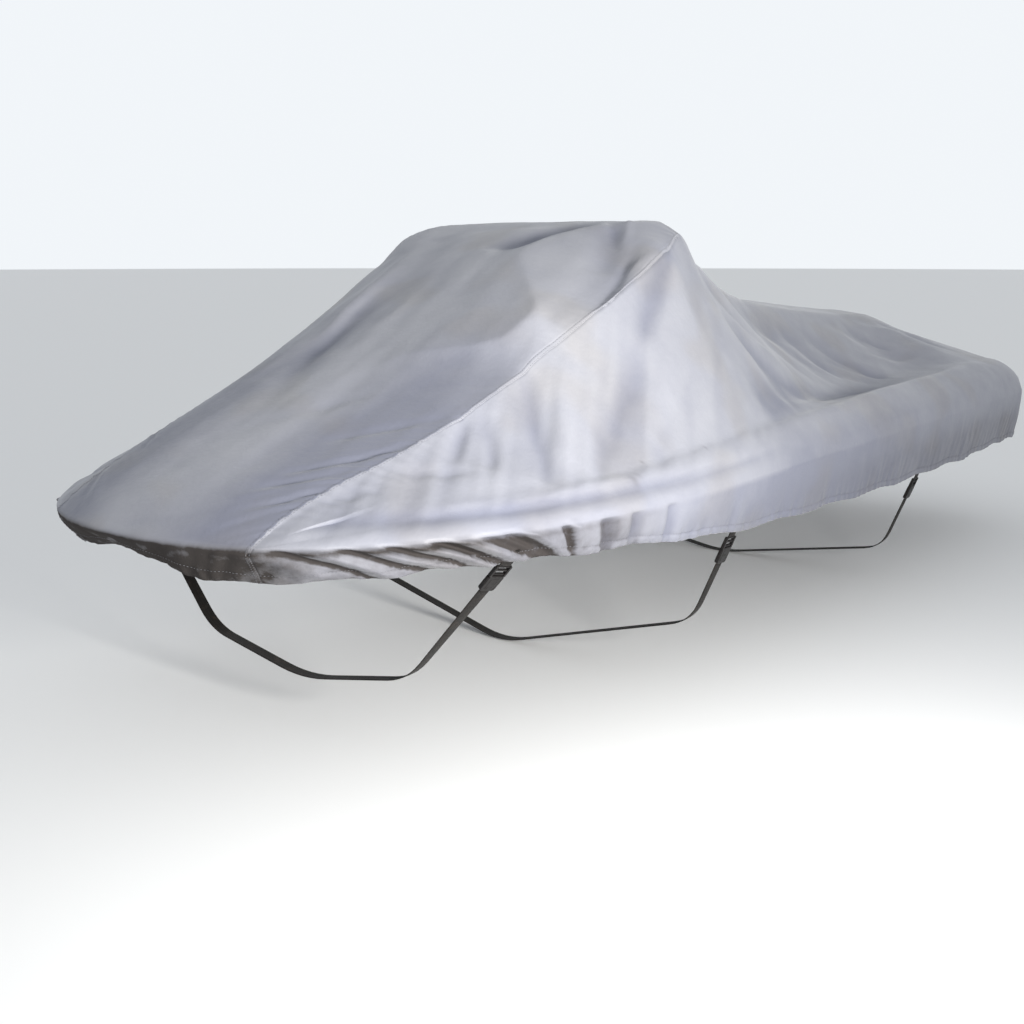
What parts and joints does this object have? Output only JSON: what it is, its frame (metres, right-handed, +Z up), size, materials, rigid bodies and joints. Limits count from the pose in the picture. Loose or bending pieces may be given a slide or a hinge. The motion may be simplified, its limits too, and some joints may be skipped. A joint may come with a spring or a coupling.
{
  "type": "personal watercraft cover",
  "caption": "Fitted fabric cover for a personal watercraft, hollow and open below, with a gathered elastic hem and webbing hold-down straps that pass under the hull.",
  "frame": {"origin": "underside of the cloth on the centreline of the high ridge over the handlebars, where the craft holds the cover up", "axes": "+X towards the stern, -X towards the bow, +Y starboard, -Y port, +Z up; the cover as fitted"},
  "size_m": [3.12, 1.182, 0.9378],
  "materials": {
    "cover_cloth": "coated woven polyester, soft satin",
    "webbing": "woven polypropylene, matte",
    "buckle_plastic": "moulded, matte"
  },
  "bodies": {
    "root": {"hood_panel": "cover_cloth", "port_panel": "cover_cloth", "starboard_panel": "cover_cloth", "fore_strap_tail": "webbing", "fore_strap_buckle": "buckle_plastic", "fore_strap_webbing": "webbing", "mid_strap_tail": "webbing", "mid_strap_buckle": "buckle_plastic", "mid_strap_webbing": "webbing", "aft_strap_tail": "webbing", "aft_strap_buckle": "buckle_plastic", "aft_strap_webbing": "webbing"}
  },
  "joints": []
}
